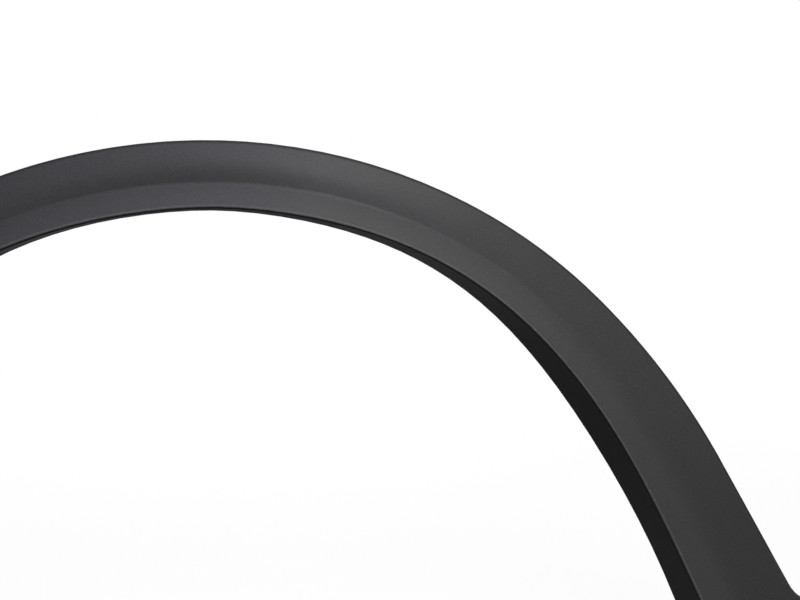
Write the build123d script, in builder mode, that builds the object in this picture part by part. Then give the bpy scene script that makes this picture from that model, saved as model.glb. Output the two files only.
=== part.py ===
"""Wheel arch trim: one moulded arch with a creased face, a return flange and push-in clips behind it.

Millimetres. X runs along the car, Y points into the car, Z is up. The face looks along -Y.
The origin is on the wing's skin (Y = 0), on the axis of the clip at the crown.
"""

import os
from math import cos, radians, sin, sqrt, tan

from build123d import *

# Outer edge of the trim, seen from outside the car
crown_radius = 440.0
crown_half_angle = 43.5
shoulder_radius = 600.0
leg_angle = 59.5
clip_inset = 30.0

# Feet, measured from the wheel's centre
foot_ledge = 66.0
foot_bottom = 20.0
foot_reach = 530.0
foot_fillet = 32.0
foot_top_round = 9.0

# Wall and rim
wall = 2.6
rim_round = 2.8
rim_height = 6.5

# Face: how it leans above the crease and below it, on the crown and on the legs, and where that changes
upper_lean_crown = 29.0
upper_lean_leg = 10.5
lower_lean_crown = 31.0
lower_lean_leg = 24.0
upper_fades_from_right = 60.0
upper_fades_to_right = 280.0
lower_fades_from = 300.0
face_fades_from = 220.0
face_fades_to = 540.0

# Swell above the crease: how far it turns the face back at the rim, in its middle and at the crease
swell_turn_rim = 5.0
swell_turn_middle = 21.0
swell_turn_crease = 46.0
swell_middle = 0.55
swell_least = 0.06
swell_ends_right = 280.0
swell_fades_left = 200.0
swell_ends_left = 540.0
crease_from_rim_crown = 32.6
crease_from_rim_leg = 42.0
crease_blend_crown = 1.4
crease_blend_leg = 9.0

# Face width: steady on the crown, then growing steadily down the legs
face_width = 52.0
face_growth = 0.076
growth_from = 255.0
growth_softness = 60.0

# Lip and return flange. The flange swings a little to one side as it goes back, more on the right
lip_radius = 2.2
flange_back = 18.0
flange_swing_right = 7.6
flange_swing_left = 4.0
flange_lean_crown = 0.4
flange_lean_shoulder = 7.5
flange_lean_leg = 4.2
flange_leans_from = 145.0
flange_leans_to = 350.0
flange_eases_from = 370.0
flange_eases_to = 540.0

# Clip towers and their clips
clip_pitch = 175.0
clips_each_side = 3
tower_length = 24.0
tower_width = 20.0
tower_wall = 1.8
tower_plate = 2.0
tower_drop = 1.5
neck_width = 6.0
neck_clearance = 0.2
seat_clearance = 0.1
base_width = 12.0
base_thickness = 2.0
collar_width = 15.0
shank_radius = 3.9
shank_length = 7.0
nose_length = 6.0
nose_width = 6.6
nose_tip = 3.0
nose_thickness = 4.0

# Stiffening ribs across the channel
rib_thickness = 1.8
rib_recess = 6.0

# Lengths along the outer edge that follow from the sizes above
wheel_z = clip_inset - crown_radius
crown_length = crown_radius * radians(crown_half_angle)
shoulder_length = shoulder_radius * radians(leg_angle - crown_half_angle)
station_pitch = 122.0
stations_each_side = 6
section_reach = 60.0
run_in = 2.0
run_out = 12.0


def edge_at(along):
    """Point on the outer edge and its slope angle, by length along the edge from the crown."""
    side = 1.0 if along >= 0 else -1.0
    length = abs(along)
    turn = min(length, crown_length) / crown_radius
    x = crown_radius * sin(turn)
    z = crown_radius * cos(turn)
    if length > crown_length:
        start = turn
        turn = start + min(length - crown_length, shoulder_length) / shoulder_radius
        x += shoulder_radius * (sin(turn) - sin(start))
        z += shoulder_radius * (cos(turn) - cos(start))
    straight = max(length - crown_length - shoulder_length, 0.0)
    x += straight * cos(turn)
    z -= straight * sin(turn)
    return Vector(side * x, 0, wheel_z + z), side * turn


def inward_at(along):
    """Unit vector from the outer edge towards the wheel, square to the edge."""
    turn = edge_at(along)[1]
    return Vector(-sin(turn), 0, -cos(turn))


def tangent_at(along):
    """Unit vector along the outer edge, towards +X."""
    turn = edge_at(along)[1]
    return Vector(cos(turn), 0, -sin(turn))


def ease(along, first, last):
    """0 before first, 1 after last, and a smooth step between, the same on both sides."""
    share = min(max((abs(along) - first) / (last - first), 0.0), 1.0)
    return share * share * (3.0 - 2.0 * share)


def mix(low, high, share):
    return low + (high - low) * share


def width_at(along):
    """Width of the face from the outer edge to the lip."""
    past = abs(along) - growth_from
    return face_width + face_growth * (past + sqrt(past * past + growth_softness**2)) / 2.0


def flange_lean_at(along):
    """How far the flange leans towards the wheel as it goes back, in degrees."""
    shoulder = ease(along, flange_leans_from, flange_leans_to)
    leg = ease(along, flange_eases_from, flange_eases_to)
    lean = mix(mix(flange_lean_crown, flange_lean_shoulder, shoulder), flange_lean_leg, leg)
    swing = flange_swing_right if along > 0 else flange_swing_left
    return lean + swing * sin(edge_at(along)[1])


def step(point, angle, length):
    """A point moved along a direction in the section: 0 is towards the wheel, 90 is outboard."""
    return (point[0] + length * cos(radians(angle)), point[1] + length * sin(radians(angle)))


def swell_at(along):
    """How full the swell is: 1 at the crown, and a trace of it where it has run out down a leg."""
    past = along / swell_ends_right
    if along < 0:
        past = max(-along - swell_fades_left, 0.0) / (swell_ends_left - swell_fades_left)
    return max(1.0 - past, swell_least)


def section_at(along, inset, back):
    """Closed section of the channel, square to the outer edge.

    With no inset it is the outside, curved. With an inset it is the hollow, whose corners are the same
    corners moved inwards and joined by straight runs. back is where it stops behind the face.
    """
    fade = ease(along, face_fades_from, face_fades_to)
    upper_fade = ease(along, upper_fades_from_right, upper_fades_to_right) if along > 0 else fade
    upper_lean = mix(upper_lean_crown, upper_lean_leg, upper_fade)
    lower_lean = mix(lower_lean_crown, lower_lean_leg, ease(along, lower_fades_from, face_fades_to))
    swell = swell_at(along)
    rim_lean = upper_lean - swell * swell_turn_rim
    middle_lean = upper_lean - swell * swell_turn_middle
    crease_lean = upper_lean - swell * swell_turn_crease
    blend = mix(crease_blend_crown, crease_blend_leg, fade)
    crease = mix(crease_from_rim_crown, crease_from_rim_leg, fade)
    flange_turn = flange_lean_at(along)
    flange_lean = flange_turn - 90.0

    # Corners of the outside, from the rim over the swell and the crease to the lip
    start = step((0.0, rim_height), rim_lean, -run_in)
    upper_end = crease - blend * cos(radians(crease_lean))
    middle_end = swell_middle * upper_end
    middle = (middle_end, rim_height + middle_end * tan(radians((rim_lean + middle_lean) / 2.0)))
    rise = (upper_end - middle_end) * tan(radians((middle_lean + crease_lean) / 2.0))
    upper = (upper_end, middle[1] + rise)
    corner = step(upper, crease_lean, blend)
    lower = step(corner, lower_lean, blend)
    lip = step(corner, lower_lean, (width_at(along) - corner[0]) / cos(radians(lower_lean)))

    # The same corners moved inwards, square to the surface at each of them
    start = step(start, rim_lean - 90.0, inset)
    middle = step(middle, middle_lean - 90.0, inset)
    corner = step(corner, crease_lean - 90.0, inset)
    corner = step(corner, crease_lean, inset * tan(radians((lower_lean - crease_lean) / 2.0)))
    lip = step(lip, lower_lean - 90.0, inset)
    lip = step(lip, lower_lean, -inset * tan(radians((lower_lean - flange_lean) / 2.0)))
    flange_end = step(lip, flange_lean, (lip[1] + back) / cos(radians(flange_turn)))

    # Beyond the rim the section runs out level, to be cut to the outline
    level = step(start, rim_lean / 2.0, -run_out / cos(radians(rim_lean / 2.0)))
    outer_top = (-section_reach, level[1])
    outer_back = (-section_reach, -back)
    along_middle = step((0, 0), middle_lean, 1)
    along_crease = step((0, 0), crease_lean, 1)

    place = Plane(edge_at(along)[0], x_dir=inward_at(along), z_dir=tangent_at(along) * -1)
    with BuildSketch(place) as section:
        with BuildLine():
            if inset > 0:
                Polyline(outer_back, outer_top, start, middle, corner, lip, flange_end, close=True)
            else:
                Line(outer_back, outer_top)
                Spline(outer_top, level, start, middle, tangents=((1, 0), along_middle))
                Spline(middle, upper, tangents=(along_middle, along_crease))
                TangentArc(upper, lower, tangent=along_crease)
                Polyline(lower, lip, flange_end, outer_back)
        make_face()
    return section.sketch


def arch_outline(inset, floor):
    """Region under the outer edge moved inwards by inset, closed by a level line at floor."""
    with BuildSketch() as region:
        with BuildLine():
            crown = CenterArc((0, wheel_z), crown_radius - inset, 90 - crown_half_angle, 2 * crown_half_angle)
            turn = leg_angle - crown_half_angle
            right = JernArc(crown @ 0, crown % 0 * -1, shoulder_radius - inset, -turn)
            left = JernArc(crown @ 1, crown % 1, shoulder_radius - inset, turn)
            right_leg = PolarLine(right @ 1, ((right @ 1).Y - floor) / sin(radians(leg_angle)), -leg_angle)
            left_leg = PolarLine(left @ 1, ((left @ 1).Y - floor) / sin(radians(leg_angle)), 180 + leg_angle)
            Line(right_leg @ 1, left_leg @ 1)
        make_face()
    return region.sketch


# Outline of the trim with its two feet
bottom_z = wheel_z + foot_bottom
ledge_z = wheel_z + foot_ledge
behind = Plane.XZ.offset(-flange_back - 2 * wall)
with BuildSketch(behind) as outline:
    add(arch_outline(0.0, bottom_z))
    with Locations((0, (bottom_z + ledge_z) / 2)):
        Rectangle(2 * foot_reach, ledge_z - bottom_z)
    on_ledge = outline.vertices().filter_by_position(Axis.Y, ledge_z - 0.01, ledge_z + 0.01)
    fillet(on_ledge.sort_by(Axis.X)[1:-1], foot_fillet)
    right_corners = outline.vertices().group_by(Axis.X)[-1]
    left_corners = outline.vertices().group_by(Axis.X)[0]
    tops = ShapeList([right_corners.sort_by(Axis.Y)[-1], left_corners.sort_by(Axis.Y)[-1]])
    fillet(tops, foot_top_round)

# The same outline one wall thickness in, left open at the bottom
with BuildSketch(behind) as cavity_outline:
    add(outline.sketch_local)
    offset(amount=-wall)
    with Locations((0, bottom_z)):
        Rectangle(2 * (foot_reach - wall), 4 * wall)

# Places along the outer edge
stations = [station_pitch * n for n in range(-stations_each_side, stations_each_side + 1)]
clip_stops = [clip_pitch * n for n in range(-clips_each_side, clips_each_side + 1)]
rib_stops = [clip_pitch * (n + 0.5) for n in range(-clips_each_side - 1, clips_each_side + 1)]
depth = 2 * (flange_back + face_width)


def clip_place(along):
    """Plane on the wing's skin at a clip: local X along the edge, local Z into the car."""
    return Plane(edge_at(along)[0] + inward_at(along) * clip_inset, x_dir=tangent_at(along), z_dir=(0, 1, 0))


def rib_place(along):
    """Plane across the channel: local X towards the wheel, local Y outboard."""
    return Plane(edge_at(along)[0], x_dir=inward_at(along), z_dir=tangent_at(along) * -1)


# Hollow of the moulding, less what is left standing in it: clip towers, ribs and end walls
tower_tops = [clip_place(along).offset(-tower_drop) for along in clip_stops]
slot_width = neck_width + 2 * neck_clearance
with BuildPart() as cavity:
    loft(sections=[section_at(along, wall, flange_back + wall) for along in stations])
    extrude(cavity_outline.sketch, amount=depth, mode=Mode.INTERSECT)
    with BuildSketch(*tower_tops):
        Rectangle(tower_length, tower_width)
        with Locations((0, -tower_wall)):
            Rectangle(tower_length - 2 * tower_wall, tower_width, mode=Mode.SUBTRACT)
    extrude(amount=-face_width, mode=Mode.SUBTRACT)
    with BuildSketch(*tower_tops):
        Rectangle(tower_length, tower_width)
        with Locations((0, slot_width / 2)):
            Rectangle(slot_width, tower_width, align=(Align.CENTER, Align.MAX), mode=Mode.SUBTRACT)
    extrude(amount=-tower_plate, mode=Mode.SUBTRACT)
    with BuildSketch(*[rib_place(along) for along in rib_stops]):
        with Locations((0, rib_recess)):
            Rectangle(2 * face_width, face_width, align=(Align.MIN, Align.MIN))
    extrude(amount=rib_thickness / 2, both=True, mode=Mode.SUBTRACT)
    with BuildSketch(Plane.XY.offset(bottom_z)):
        Rectangle(2 * foot_reach, face_width, align=(Align.CENTER, Align.MAX))
    extrude(amount=wall, mode=Mode.SUBTRACT)

# The moulding: front cut to its outline, rounded rim, seat on the wing's skin, then the hollow
with BuildPart() as arch_moulding:
    loft(sections=[section_at(along, 0.0, flange_back) for along in stations])
    extrude(outline.sketch, amount=depth, mode=Mode.INTERSECT)
    upright = arch_moulding.faces().filter_by(lambda f: abs(f.normal_at().Y) < 1e-6)
    front = upright.edges().filter_by(lambda e: abs(e.tangent_at(0.5).Y) < 0.7 and e.center().Y < 0)
    rim_edges = front.filter_by(lambda e: e.center().Z > bottom_z + 1)
    fillet(rim_edges, rim_round)
    long_edges = arch_moulding.edges().filter_by(lambda e: e.length > crown_radius)
    lip_edge = long_edges.sort_by(lambda e: e.center().Y)[0]
    fillet(lip_edge, lip_radius)
    with BuildSketch(Plane.XZ) as beyond_skin:
        Rectangle(4 * foot_reach, 4 * foot_reach)
        add(arch_outline(clip_inset, bottom_z - depth), mode=Mode.SUBTRACT)
    extrude(amount=-depth, mode=Mode.SUBTRACT)
    add(cavity.part, mode=Mode.SUBTRACT)

arch_moulding.part.label = "arch_moulding"

# One push-in clip: square base under the tower's plate, neck in its slot, collar on the skin, shank and nose
plate_under = -tower_drop - tower_plate
with BuildPart() as clip:
    with BuildSketch(Plane.XY.offset(plate_under - seat_clearance)):
        Rectangle(base_width, base_width)
    extrude(amount=-base_thickness)
    with BuildSketch(Plane.XY.offset(plate_under - seat_clearance)):
        Rectangle(neck_width, neck_width)
    extrude(amount=-plate_under)
    with BuildSketch():
        Rectangle(collar_width, collar_width)
    extrude(amount=seat_clearance - tower_drop)
    with BuildSketch():
        Circle(shank_radius)
    extrude(amount=shank_length)
    with BuildSketch(Plane.XZ):
        with BuildLine():
            Polyline(
                (-nose_width / 2, shank_length),
                (nose_width / 2, shank_length),
                (nose_tip / 2, shank_length + nose_length),
                (-nose_tip / 2, shank_length + nose_length),
                close=True,
            )
        make_face()
    extrude(amount=nose_thickness / 2, both=True)

with BuildPart() as retaining_clips:
    with Locations(*[clip_place(along) for along in clip_stops]):
        add(clip.part)

retaining_clips.part.label = "retaining_clips"

os.makedirs("parts", exist_ok=True)
export_step(arch_moulding.part, "parts/arch_moulding.step")
export_step(retaining_clips.part, "parts/retaining_clips.step")

for made in (arch_moulding, retaining_clips):
    print(made.part.label, round(made.part.volume), len(made.solids()), made.part.is_valid)
    print(made.part.bounding_box())
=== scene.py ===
# %% [markdown]
# # Wheel arch trim
# A wheel arch trim is one long plastic moulding that covers the edge of a car's wheel opening. It has a
# creased face, a rounded lip and a flange that turns back towards the wheel, and push-in clips hold it.
# The solids come from the CAD frame, in metres, so every piece is already in its place. This lesson goes
# from the simple to the rich: the clips and their edges, a soft trough pressed into the face, the plastic
# of the moulding, and the studio round it.

# %% Load the frame
from math import atan2, cos, hypot, radians, sin

import bpy
from mathutils import Matrix, Vector


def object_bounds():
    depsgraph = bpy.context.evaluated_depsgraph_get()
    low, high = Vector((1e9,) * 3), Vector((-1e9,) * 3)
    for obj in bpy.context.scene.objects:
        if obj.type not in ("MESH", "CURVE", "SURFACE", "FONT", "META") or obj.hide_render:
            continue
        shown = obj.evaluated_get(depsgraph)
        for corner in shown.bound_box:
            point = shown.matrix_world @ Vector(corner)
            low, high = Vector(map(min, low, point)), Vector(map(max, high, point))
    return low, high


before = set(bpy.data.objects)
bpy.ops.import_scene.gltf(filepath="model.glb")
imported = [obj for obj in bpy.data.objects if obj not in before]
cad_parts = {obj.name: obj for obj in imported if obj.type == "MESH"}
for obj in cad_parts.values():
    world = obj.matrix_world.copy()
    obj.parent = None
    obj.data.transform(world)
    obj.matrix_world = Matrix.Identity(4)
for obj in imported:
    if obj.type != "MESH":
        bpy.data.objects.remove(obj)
cad_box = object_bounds()
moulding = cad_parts["arch_moulding"]
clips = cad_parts["retaining_clips"]
print("nodes", sorted(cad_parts))
print("CAD box", [[round(v, 4) for v in corner] for corner in cad_box])
print("moulding", len(moulding.data.vertices), "vertices", len(moulding.data.polygons), "faces")

# %% [markdown]
# ## Camera
# The crown of the arch is taken as a true circle, with a face equally wide on both sides of it. Together
# they show where the camera stood: before the crown, a little below it, turned to the right. The view could
# be set by eye, but worked out this way it keeps the outline right. A plain lens with no shift gives it.
# The matrices stand in the order yaw, pitch, roll.

# %% Camera
PHOTO_WIDTH = 800
FOCAL_PIXELS = 1100.0
SENSOR_WIDTH = 36.0
NEAREST_SEEN = 0.01
FARTHEST_SEEN = 50.0
CAMERA_PLACE = Vector((0.0212, -0.8545, -0.0539))
CAMERA_TURNS = {"yaw": 8.03, "pitch": -2.50, "roll": 0.35}
LEVEL_LOOK = 90

lens = bpy.data.cameras.new("photo_camera")
lens.sensor_width = SENSOR_WIDTH
lens.lens = FOCAL_PIXELS * SENSOR_WIDTH / PHOTO_WIDTH
lens.clip_start = NEAREST_SEEN
lens.clip_end = FARTHEST_SEEN
camera = bpy.data.objects.new("photo_camera", lens)
bpy.context.scene.collection.objects.link(camera)
camera.matrix_world = (
    Matrix.Translation(CAMERA_PLACE)
    @ Matrix.Rotation(radians(-CAMERA_TURNS["yaw"]), 4, "Z")
    @ Matrix.Rotation(radians(LEVEL_LOOK + CAMERA_TURNS["pitch"]), 4, "X")
    @ Matrix.Rotation(radians(CAMERA_TURNS["roll"]), 4, "Z")
)
bpy.context.scene.camera = camera
print("lens", round(lens.lens, 2), "mm")

# %% [markdown]
# ## Natural nylon
# Push-in clips are moulded from nylon with no colour added, a warm off-white that lets a little light into
# its surface. One flat colour would look painted, so the clips get a trace of subsurface scatter and a
# faint mottle, which is enough for pieces this small. A node material is a little graph, and three helpers
# keep graphs readable: one adds a node, one feeds a socket, one starts a material. Textures read object
# coordinates, which are metres here, so a scale of 1000 gives features about a millimetre across.

# %% Natural nylon
NYLON_DARK = (0.50, 0.48, 0.42, 1)
NYLON_PALE = (0.62, 0.60, 0.53, 1)
NYLON_ROUGHNESS = 0.42
NYLON_SCATTER = 0.15
NYLON_SCATTER_DEPTHS = (0.0012, 0.0009, 0.0006)
MOTTLE_SCALE = 260.0
MOTTLE_DETAIL = 3.0


def add_node(tree, kind, **sockets):
    """Add a node and write plain values on its sockets."""
    node = tree.nodes.new(kind)
    for name, value in sockets.items():
        node.inputs[name].default_value = value
    return node


def feed(tree, source, target):
    """Join an output to a socket, or write a plain value on it."""
    if isinstance(source, bpy.types.NodeSocket):
        tree.links.new(source, target)
    else:
        target.default_value = source


def new_material(name):
    material = bpy.data.materials.new(name)
    material.use_nodes = True
    tree = material.node_tree
    return material, tree, tree.nodes["Principled BSDF"]


nylon, nylon_tree, nylon_shader = new_material("natural_nylon")
nylon_shader.inputs["Roughness"].default_value = NYLON_ROUGHNESS
nylon_shader.inputs["Subsurface Weight"].default_value = NYLON_SCATTER
nylon_shader.inputs["Subsurface Radius"].default_value = NYLON_SCATTER_DEPTHS
nylon_shader.inputs["Subsurface Scale"].default_value = 1.0
nylon_place = add_node(nylon_tree, "ShaderNodeTexCoord")
mottle = add_node(nylon_tree, "ShaderNodeTexNoise", Scale=MOTTLE_SCALE, Detail=MOTTLE_DETAIL)
nylon_tone = add_node(nylon_tree, "ShaderNodeValToRGB")
nylon_tone.color_ramp.elements[0].color = NYLON_DARK
nylon_tone.color_ramp.elements[1].color = NYLON_PALE
feed(nylon_tree, nylon_place.outputs["Object"], mottle.inputs["Vector"])
feed(nylon_tree, mottle.outputs["Fac"], nylon_tone.inputs["Fac"])
feed(nylon_tree, nylon_tone.outputs["Color"], nylon_shader.inputs["Base Color"])
clips.data.materials.clear()
clips.data.materials.append(nylon)
print("clips take", nylon.name, "with", len(nylon_tree.nodes), "nodes")

# %% [markdown]
# ## Clip edges
# A clip leaves its mould with every edge slightly rounded, because sharp edges crack and wear the mould.
# The CAD clip has plain edges, and rounding them there would cost the solids many faces. Here its points are
# welded and its edges bevelled, which takes a little off each one, so the clip stays inside its CAD shape.
# The value below is the most that the bevel may take. It is clamped so that narrow faces can't overlap,
# and on these clips that holds it to about 0.04 mm, which only just breaks the edges.

# %% Clip edges
WELD_DISTANCE = 0.00001
CLIP_EDGE = 0.00035
CLIP_EDGE_STEPS = 2
SHARP_ANGLE = radians(40)

weld = clips.modifiers.new("one_skin", "WELD")
weld.merge_threshold = WELD_DISTANCE
rounding = clips.modifiers.new("soft_edges", "BEVEL")
rounding.width = CLIP_EDGE
rounding.segments = CLIP_EDGE_STEPS
rounding.limit_method = "ANGLE"
rounding.angle_limit = SHARP_ANGLE
rounding.use_clamp_overlap = True
print("clips", len(clips.data.polygons), "faces before their edges are rounded")

# %% [markdown]
# ## Outline of the rim
# The rim is an arc over the crown, a wider arc at each shoulder and a straight leg, and each runs on from
# the last without a corner. The crease follows it at a distance that grows down the legs. The trough and
# the plastic both need to know how far a point lies below the rim. That could be painted by hand, but two
# arcs and a line give it exactly, in a few lines.

# %% Outline of the rim
WHEEL_CENTRE = (0.0, 0.0, -0.41)
CROWN_RADIUS = 0.440
CROWN_TURN = radians(43.5)
SHOULDER_RADIUS = 0.600
LEG_TURN = radians(59.5)
SHOULDER_SHIFT = SHOULDER_RADIUS - CROWN_RADIUS
SHOULDER_CENTRE = (-SHOULDER_SHIFT * sin(CROWN_TURN), 0.0, -SHOULDER_SHIFT * cos(CROWN_TURN))
CREASE_FROM_RIM = (0.0326, 0.0420)


def rim_distance(x, height):
    """Depth below the rim and length along it from the crown. x and height start at the wheel's centre."""
    angle = atan2(x, height)
    if angle < CROWN_TURN:
        return CROWN_RADIUS - hypot(x, height), CROWN_RADIUS * angle
    x = x - SHOULDER_CENTRE[0]
    height = height - SHOULDER_CENTRE[2]
    angle = min(atan2(x, height), LEG_TURN)
    along = CROWN_RADIUS * CROWN_TURN + SHOULDER_RADIUS * (angle - CROWN_TURN)
    if angle < LEG_TURN:
        return SHOULDER_RADIUS - hypot(x, height), along
    out = x * sin(LEG_TURN) + height * cos(LEG_TURN)
    return SHOULDER_RADIUS - out, along + x * cos(LEG_TURN) - height * sin(LEG_TURN)


crown_point = max((vertex.co for vertex in moulding.data.vertices), key=lambda point: point.z)
crown_depth = rim_distance(abs(crown_point.x), crown_point.z - WHEEL_CENTRE[2])[0]
print("highest point lies", round(1000 * crown_depth, 3), "mm below the rim")

# %% [markdown]
# ## Soft trough along the crease
# Towards the right leg the crease opens into a shallow trough: the band above it turns down a little and
# the band below it turns up. A bump would only fake that, so the skin itself is pressed in. Each point of
# the front skin gets a weight, full at the crease and nothing at the rim and at the lip, and a displace
# modifier moves the points into the car by that share. The wall is 2.6 mm thick, so the press stays in it.
# It could be part of the solid instead. A modifier leaves the solid's own points where they are, and
# without this cell the face is the solid's again.

# %% Soft trough along the crease
# Each pair is where a change starts and where it ends, in metres.
TROUGH_DEPTH = 0.0017
TROUGH_STARTS = (0.05, 0.16)
TROUGH_ENDS = (0.37, 0.47)
CREASE_LOWERS_ALONG = (0.22, 0.54)
FACE_WIDTH = 0.052
FACE_GROWTH = 0.076
GROWTH_FROM = 0.255
SKIN_FACING = -0.3
RIM_HEIGHT = 0.0052
LEAST_SLOPE = 0.185


def ease(value, start, end):
    """0 before the start, 1 after the end, and a smooth rise between them."""
    share = min(max((value - start) / (end - start), 0.0), 1.0)
    return share * share * (3.0 - 2.0 * share)


def trough_share(point, normal):
    """How much of the trough's depth a point gets: nothing off the front skin or left of the crown."""
    depth, along = rim_distance(point.x, point.z - WHEEL_CENTRE[2])
    on_skin = normal.y < SKIN_FACING and point.y < -RIM_HEIGHT - LEAST_SLOPE * depth
    if not on_skin or point.x < 0 or depth < 0:
        return 0.0
    lowered = ease(along, *CREASE_LOWERS_ALONG)
    crease = CREASE_FROM_RIM[0] + (CREASE_FROM_RIM[1] - CREASE_FROM_RIM[0]) * lowered
    width = FACE_WIDTH + FACE_GROWTH * max(along - GROWTH_FROM, 0.0)
    across = min(depth / crease, (width - depth) / (width - crease))
    return max(across, 0.0) * ease(point.x, *TROUGH_STARTS) * (1.0 - ease(point.x, *TROUGH_ENDS))


trough = moulding.vertex_groups.new(name="crease_trough")
pressed = 0
for vertex in moulding.data.vertices:
    share = trough_share(vertex.co, vertex.normal)
    if share > 0:
        trough.add([vertex.index], share, "REPLACE")
        pressed += 1
press = moulding.modifiers.new("soft_trough", "DISPLACE")
press.vertex_group = trough.name
press.direction = "Y"
press.mid_level = 0.0
press.strength = TROUGH_DEPTH
print("trough presses", pressed, "points")

# %% [markdown]
# ## Charcoal plastic: arithmetic in a graph
# Arch mouldings are left unpainted: the polypropylene is coloured right through, with a fine grain etched
# into the mould. A flat colour would look like paint, and masks painted by hand would fit this one mesh
# only. So the graph works the finish out from the shape. For that it needs a little arithmetic: numbers
# and vectors combined, two values mixed, and one range of values carried to another.

# %% Arithmetic in a graph
MIX_SOCKETS = {"FLOAT": (2, 3, 0), "RGBA": (6, 7, 2)}


def combine(tree, operation, first, second):
    node = add_node(tree, "ShaderNodeMath")
    node.operation = operation
    feed(tree, first, node.inputs[0])
    feed(tree, second, node.inputs[1])
    return node.outputs[0]


def vector_math(tree, operation, *vectors):
    node = add_node(tree, "ShaderNodeVectorMath")
    node.operation = operation
    for vector, socket in zip(vectors, node.inputs):
        feed(tree, vector, socket)
    return node.outputs["Value" if operation in ("DOT_PRODUCT", "DISTANCE") else "Vector"]


def mix(tree, share, first, second, kind="FLOAT"):
    """Mix two numbers or two colours. The node has sockets of its own for each kind."""
    node = add_node(tree, "ShaderNodeMix")
    node.data_type = kind
    first_socket, second_socket, result = MIX_SOCKETS[kind]
    feed(tree, share, node.inputs[0])
    feed(tree, first, node.inputs[first_socket])
    feed(tree, second, node.inputs[second_socket])
    return node.outputs[result]


def remap(tree, value, source, target, kind="SMOOTHSTEP"):
    """Carry a value from one range to another, held at the ends."""
    node = add_node(tree, "ShaderNodeMapRange")
    node.interpolation_type = kind
    feed(tree, value, node.inputs["Value"])
    for name, number in zip(("From Min", "From Max", "To Min", "To Max"), source + target):
        node.inputs[name].default_value = number
    return node.outputs["Result"]


plastic, plastic_tree, plastic_shader = new_material("charcoal_plastic")
print("started", plastic.name)

# %% [markdown]
# ## Charcoal plastic: place on the arch
# Rim, crease, lip and flange follow the outline, so the graph asks of every point how far it lies below the
# rim and which way it faces. The depth is the one that the trough uses, written in nodes: each stretch of
# the rim gives a depth, and a mix takes the right one. The left half is folded onto the right, because
# both halves have one outline.

# %% Place on the arch
CREASE_LOWERS_SIDEWAYS = (0.20, 0.42)
ORIGIN = (0.0, 0.0, 0.0)
ACROSS_AND_UP = (1.0, 0.0, 1.0)


def split(tree, vector):
    node = add_node(tree, "ShaderNodeSeparateXYZ")
    feed(tree, vector, node.inputs["Vector"])
    return node.outputs


def below_rim(tree, folded):
    """Depth below the crown arc, then below the shoulder arc, then below the straight leg."""
    from_centre = vector_math(tree, "DISTANCE", folded, ORIGIN)
    crown = combine(tree, "SUBTRACT", CROWN_RADIUS, from_centre)
    from_shoulder = vector_math(tree, "DISTANCE", folded, SHOULDER_CENTRE)
    shoulder = combine(tree, "SUBTRACT", SHOULDER_RADIUS, from_shoulder)
    past = vector_math(tree, "DOT_PRODUCT", folded, (cos(CROWN_TURN), 0.0, -sin(CROWN_TURN)))
    depth = mix(tree, combine(tree, "GREATER_THAN", past, 0.0), crown, shoulder)
    offset = vector_math(tree, "SUBTRACT", folded, SHOULDER_CENTRE)
    out = vector_math(tree, "DOT_PRODUCT", offset, (sin(LEG_TURN), 0.0, cos(LEG_TURN)))
    leg = combine(tree, "SUBTRACT", SHOULDER_RADIUS, out)
    past = vector_math(tree, "DOT_PRODUCT", offset, (cos(LEG_TURN), 0.0, -sin(LEG_TURN)))
    return mix(tree, combine(tree, "GREATER_THAN", past, 0.0), depth, leg)


def read_arch(tree):
    """Sockets that say where a point lies on the arch and which way its surface faces."""
    place = add_node(tree, "ShaderNodeTexCoord")
    from_wheel = vector_math(tree, "SUBTRACT", place.outputs["Object"], WHEEL_CENTRE)
    level = vector_math(tree, "MULTIPLY", from_wheel, ACROSS_AND_UP)
    outward = vector_math(tree, "NORMALIZE", level)
    folded = vector_math(tree, "ABSOLUTE", level)
    spread = split(tree, folded)
    depth = below_rim(tree, folded)
    crease = remap(tree, spread["X"], CREASE_LOWERS_SIDEWAYS, CREASE_FROM_RIM)
    return {
        "point": place.outputs["Object"],
        "outwards": vector_math(tree, "DOT_PRODUCT", outward, place.outputs["Normal"]),
        "into_car": split(tree, place.outputs["Normal"])["Y"],
        "height": spread["Z"],
        "depth": depth,
        "below_crease": combine(tree, "SUBTRACT", depth, crease),
    }


arch = read_arch(plastic_tree)
print("the graph knows", sorted(arch))

# %% [markdown]
# ## Charcoal plastic: zones
# The rolled rim, the flange and the back come off duller parts of the mould. The rim and the flange are also
# darkened in their colour, which is painted shade, and the lip is lightened, which is a painted highlight;
# the back is as dull but keeps its tone. Each zone could be a material slot with a hard border. A soft mask
# looks more like one moulding: facing away from the wheel is the rim, towards the wheel is the flange, into
# the car is the back, and the lip lies between face and flange. The thin edge of the rim is found by its
# depth, but only above the feet, because a foot leaves that outline.

# %% Zones
# Facing runs from -1, towards the wheel, to 1, away from it. Depths and heights are in metres.
APPEARS = (0.0, 1.0)
FADES = (1.0, 0.0)
RIM_FACING = (0.56, 0.72)
RIM_EDGE = (0.0008, 0.0030)
ABOVE_FEET = (0.10, 0.12)
FLANGE_FACING = (-0.72, -0.50)
BACK_FACING = (-0.2, 0.2)
LIP_FACING = (0.05, 0.34)
LIP_TURNS_UNDER = (-0.5, -0.2)
LIP_BELOW_CREASE = (0.010, 0.014)


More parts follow.
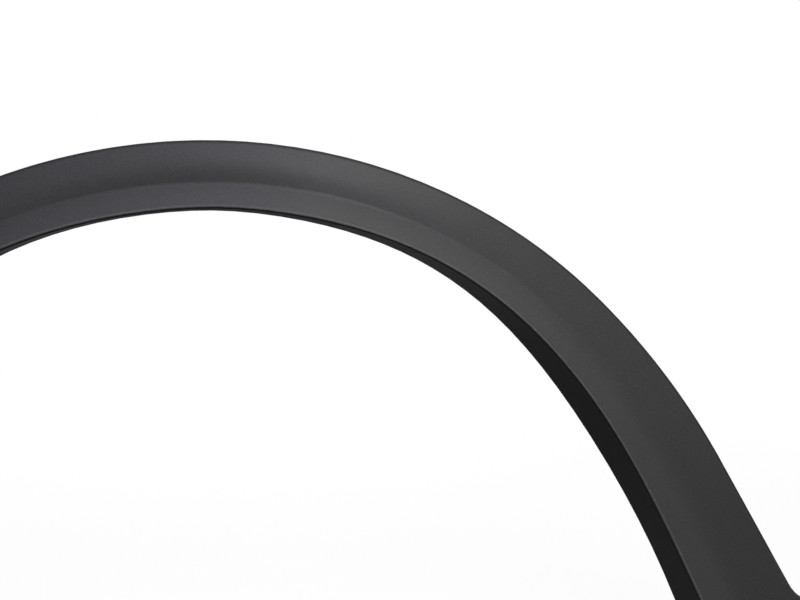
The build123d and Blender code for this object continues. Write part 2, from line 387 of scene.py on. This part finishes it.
def find_zones(tree, arch):
    """Masks that are 1 in a zone and 0 away from it."""
    edge = remap(tree, arch["depth"], RIM_EDGE, FADES)
    edge = combine(tree, "MULTIPLY", edge, remap(tree, arch["height"], ABOVE_FEET, APPEARS))
    rim = combine(tree, "MAXIMUM", remap(tree, arch["outwards"], RIM_FACING, APPEARS), edge)
    flange = remap(tree, arch["outwards"], FLANGE_FACING, FADES)
    back = remap(tree, arch["into_car"], BACK_FACING, APPEARS)
    inside = combine(tree, "MAXIMUM", flange, back)
    lip = remap(tree, arch["outwards"], LIP_FACING, FADES)
    lip = combine(tree, "MULTIPLY", lip, remap(tree, arch["below_crease"], LIP_BELOW_CREASE, APPEARS))
    lip = combine(tree, "MULTIPLY", lip, remap(tree, arch["outwards"], LIP_TURNS_UNDER, APPEARS))
    return {"rim": rim, "back": back, "inside": inside, "lip": lip}


zones = find_zones(plastic_tree, arch)
print("zones", sorted(zones))

# %% [markdown]
# ## Charcoal plastic: tone
# Coloured plastic is never quite even: its tone drifts a little along the arch, with a speckle as fine as
# the grain. Two noises mix a darker and a paler charcoal. Each zone then scales that colour: down for the
# rim and the flange, which is painted shade, and up for the lip, which is a painted highlight. The band
# below the crease is painted a little paler than the one above, which is painted light.

# %% Tone
CHARCOAL_DARK = (0.0388, 0.0389, 0.0390, 1)
CHARCOAL_PALE = (0.0608, 0.0609, 0.0610, 1)
DRIFT = {"scale": 9.0, "detail": 4.0, "span": (0.3, 0.7), "share": (0.12, 0.32)}
SPECKLE = {"scale": 750.0, "detail": 2.0, "span": (0.3, 0.7), "share": (0.0, 0.56)}
CLOUD_ROUGHNESS = 0.6
# Painted shade darkens the rim and the flange, and painted highlight and painted light make the lip and the
# band below the crease paler.
RIM_PAINTED_SHADE = 0.5
FLANGE_PAINTED_SHADE = 0.27
BACK_SHADE = 1.0
LIP_PAINTED_HIGHLIGHT = 1.9
BAND_PAINTED_LIGHT = 1.12
BAND_STARTS = (0.0, 0.014)


def clouds(tree, point, scale, detail, span, share):
    """A noise, with the span that it mostly fills carried to a share."""
    node = add_node(tree, "ShaderNodeTexNoise", Scale=scale, Detail=detail, Roughness=CLOUD_ROUGHNESS)
    feed(tree, point, node.inputs["Vector"])
    return remap(tree, node.outputs["Fac"], span, share, "LINEAR")


def scaled_in(tree, zone, scale):
    """1 away from a zone, and the given scale in it."""
    return remap(tree, zone, APPEARS, (1.0, scale), "LINEAR")


def charcoal_tone(tree, arch, zones):
    drift = clouds(tree, arch["point"], **DRIFT)
    speckle = clouds(tree, arch["point"], **SPECKLE)
    tone = mix(tree, combine(tree, "ADD", drift, speckle), CHARCOAL_DARK, CHARCOAL_PALE, "RGBA")
    # Painted light: the band below the crease is made paler in the colour than the band above it.
    band = remap(tree, arch["below_crease"], BAND_STARTS, (1.0, BAND_PAINTED_LIGHT))
    # Painted highlight: the lip is made paler in the colour.
    lip_and_band_painted_light = combine(tree, "MULTIPLY", scaled_in(tree, zones["lip"], LIP_PAINTED_HIGHLIGHT), band)
    face = combine(tree, "MULTIPLY", scaled_in(tree, zones["rim"], RIM_PAINTED_SHADE), lip_and_band_painted_light)
    # Painted shade: the flange is darkened in the colour, and the back keeps its tone.
    flange_painted_dark = remap(tree, zones["back"], APPEARS, (FLANGE_PAINTED_SHADE, BACK_SHADE), "LINEAR")
    outside = remap(tree, zones["inside"], APPEARS, FADES, "LINEAR")
    inside = combine(tree, "MAXIMUM", flange_painted_dark, outside)
    shade = add_node(tree, "ShaderNodeVectorMath")
    shade.operation = "SCALE"
    feed(tree, tone, shade.inputs["Vector"])
    feed(tree, combine(tree, "MULTIPLY", face, inside), shade.inputs["Scale"])
    return shade.outputs["Vector"]


feed(plastic_tree, charcoal_tone(plastic_tree, arch, zones), plastic_shader.inputs["Base Color"])
print("tone joins the graph, now", len(plastic_tree.nodes), "nodes")

# %% [markdown]
# ## Charcoal plastic: sheen and grain
# The face has a satin skin, and the rim, the flange and the back are duller. Handling leaves patches that
# shine a little more or less, so a noise moves the roughness slightly. The etched grain is far too fine to
# model, and as it has no outline of its own a bump is right for it: soft cells under a millimetre across.

# %% Sheen and grain
PLASTIC_GLOSS = 0.12
SATIN_ROUGHNESS = 0.52
DULL_ROUGHNESS = 0.88
RUB = {"scale": 70.0, "detail": 3.0, "span": (0.0, 1.0), "share": (-0.035, 0.035)}
GRAIN_SCALE = 1500.0
GRAIN_HEIGHT = 0.00005
GRAIN_STRENGTH = 0.35


def satin_roughness(tree, arch, zones):
    dull = combine(tree, "MAXIMUM", zones["rim"], zones["inside"])
    skin = remap(tree, dull, APPEARS, (SATIN_ROUGHNESS, DULL_ROUGHNESS), "LINEAR")
    return combine(tree, "ADD", skin, clouds(tree, arch["point"], **RUB))


def etched_grain(tree, arch):
    cells = add_node(tree, "ShaderNodeTexVoronoi", Scale=GRAIN_SCALE)
    cells.feature = "SMOOTH_F1"
    feed(tree, arch["point"], cells.inputs["Vector"])
    bump = add_node(tree, "ShaderNodeBump", Strength=GRAIN_STRENGTH, Distance=GRAIN_HEIGHT)
    feed(tree, cells.outputs["Distance"], bump.inputs["Height"])
    return bump.outputs["Normal"]


plastic_shader.inputs["Specular IOR Level"].default_value = PLASTIC_GLOSS
feed(plastic_tree, satin_roughness(plastic_tree, arch, zones), plastic_shader.inputs["Roughness"])
feed(plastic_tree, etched_grain(plastic_tree, arch), plastic_shader.inputs["Normal"])
moulding.data.materials.clear()
moulding.data.materials.append(plastic)
print("moulding takes", plastic.name, "with", len(plastic_tree.nodes), "nodes")

# %% [markdown]
# ## Lamps
# Dark satin plastic shows its form by soft light from the front and above. One lamp could do that, but the
# plastic looks cooler on the left and neutral down the right leg. So a cool and a warm lamp stand side by
# side, and where their light overlaps it is nearly white. A smaller lamp close by lifts the crown, and two
# plain ones behind the arch show its back. All are disks, which give soft shadows.

# %% Lamps
ARCH_AIM = Vector((0.12, 0.0, -0.12))
CROWN_AIM = Vector((0.15, 0.0, -0.02))
COOL_TINT = (0.38, 0.36, 1.0)
WARM_TINT = (0.96, 1.0, 0.25)
CROWN_TINT = (0.97, 0.94, 0.97)
PLAIN_TINT = (1.0, 1.0, 1.0)
# Each row: name, place, aim, width in metres, watts, tint.
LAMPS = (
    ("cool_lamp", Vector((0.12, -0.96, 1.03)), ARCH_AIM, 0.7, 7.6, COOL_TINT),
    ("warm_lamp", Vector((0.60, -0.84, 1.03)), ARCH_AIM, 0.7, 5.9, WARM_TINT),
    ("crown_lamp", Vector((0.20, -0.55, 0.35)), CROWN_AIM, 0.3, 3.95, CROWN_TINT),
    ("back_lamp", Vector((0.0, 1.10, 1.40)), ARCH_AIM, 0.9, 10.0, PLAIN_TINT),
    ("low_back_lamp", Vector((0.0, 1.60, 0.50)), ARCH_AIM, 0.9, 17.0, PLAIN_TINT),
)


def soft_lamp(name, place, aim, width, watts, tint):
    data = bpy.data.lights.new(name, "AREA")
    data.shape = "DISK"
    data.size = width
    data.energy = watts
    data.color = tint
    lamp = bpy.data.objects.new(name, data)
    bpy.context.scene.collection.objects.link(lamp)
    lamp.location = place
    lamp.rotation_euler = (aim - place).to_track_quat("-Z", "Y").to_euler()
    return lamp


lamps = [soft_lamp(*row) for row in LAMPS]
print("lamps", {lamp.name: round(lamp.data.energy, 2) for lamp in lamps})

# %% [markdown]
# ## White surround
# The trim stands before plain white. A bright world would also flood the plastic with light and flatten it.
# So only camera, glossy and transmission rays see the world as white. All other rays meet a dim room, and
# nearly all the light on the plastic comes from the lamps.

# %% White surround
SURROUND_WHITE = 1.0
ROOM_STRENGTH = 0.03
ROOM_TINT = (0.9, 0.93, 1.0, 1)
WHITE = (1, 1, 1, 1)


def white_rays(tree):
    """1 for the rays that see the white surround: camera, glossy and transmission."""
    rays = add_node(tree, "ShaderNodeLightPath").outputs
    seen = combine(tree, "MAXIMUM", rays["Is Camera Ray"], rays["Is Glossy Ray"])
    return combine(tree, "MAXIMUM", seen, rays["Is Transmission Ray"])


def mix_shaders(tree, share, first, second):
    node = add_node(tree, "ShaderNodeMixShader")
    for source, socket in zip((share, first, second), node.inputs):
        feed(tree, source, socket)
    return node.outputs[0]


world = bpy.data.worlds.new("surround")
bpy.context.scene.world = world
world.use_nodes = True
world_tree = world.node_tree
room = world_tree.nodes["Background"]
room.inputs["Color"].default_value = ROOM_TINT
room.inputs["Strength"].default_value = ROOM_STRENGTH
white = add_node(world_tree, "ShaderNodeBackground", Color=WHITE, Strength=SURROUND_WHITE)
seen_world = mix_shaders(world_tree, white_rays(world_tree), room.outputs[0], white.outputs[0])
feed(world_tree, seen_world, world_tree.nodes["World Output"].inputs[0])
bpy.context.scene.view_settings.view_transform = "Standard"
print("surround", SURROUND_WHITE, "to the camera and", ROOM_STRENGTH, "to the plastic")

# %% [markdown]
# ## Pale floor
# The floor has to look as white as the surround and still show where the arch stands. Lit by lamps alone it
# would be grey, and glowing alone it would lose the shadow. So the rays that see the white surround see
# mostly glow here, and all glow further out, with a small lit share near the arch that keeps the shadow.
# To all other rays the floor is grey, so that it throws little light up into the flange.

# %% Pale floor
FLOOR_SIZE = 14
FLOOR_GLOW = (0.93, 1.0)
FLOOR_GLOW_GROWS = (0.6, 1.6)
FLOOR_LIT = (0.9, 0.9, 0.9, 1)
FLOOR_GREY = (0.15, 0.15, 0.15, 1)
FLOOR_ROUGHNESS = 0.9


def pale_floor():
    material, tree, shader = new_material("pale_floor")
    shader.inputs["Base Color"].default_value = FLOOR_GREY
    shader.inputs["Roughness"].default_value = FLOOR_ROUGHNESS
    shader.inputs["Specular IOR Level"].default_value = 0.0
    lit = add_node(tree, "ShaderNodeBsdfDiffuse", Color=FLOOR_LIT)
    glow = add_node(tree, "ShaderNodeEmission", Color=WHITE, Strength=1.0)
    place = add_node(tree, "ShaderNodeTexCoord")
    away = vector_math(tree, "DISTANCE", place.outputs["Object"], ORIGIN)
    share = remap(tree, away, FLOOR_GLOW_GROWS, FLOOR_GLOW)
    pale = mix_shaders(tree, share, lit.outputs[0], glow.outputs[0])
    seen = mix_shaders(tree, white_rays(tree), shader.outputs[0], pale)
    feed(tree, seen, tree.nodes["Material Output"].inputs[0])
    return material


bpy.ops.mesh.primitive_plane_add(size=FLOOR_SIZE, location=(0, 0, cad_box[0][2]))
floor = bpy.context.object
floor.name = "floor"
floor.data.materials.append(pale_floor())
print("floor at", round(cad_box[0][2], 4))
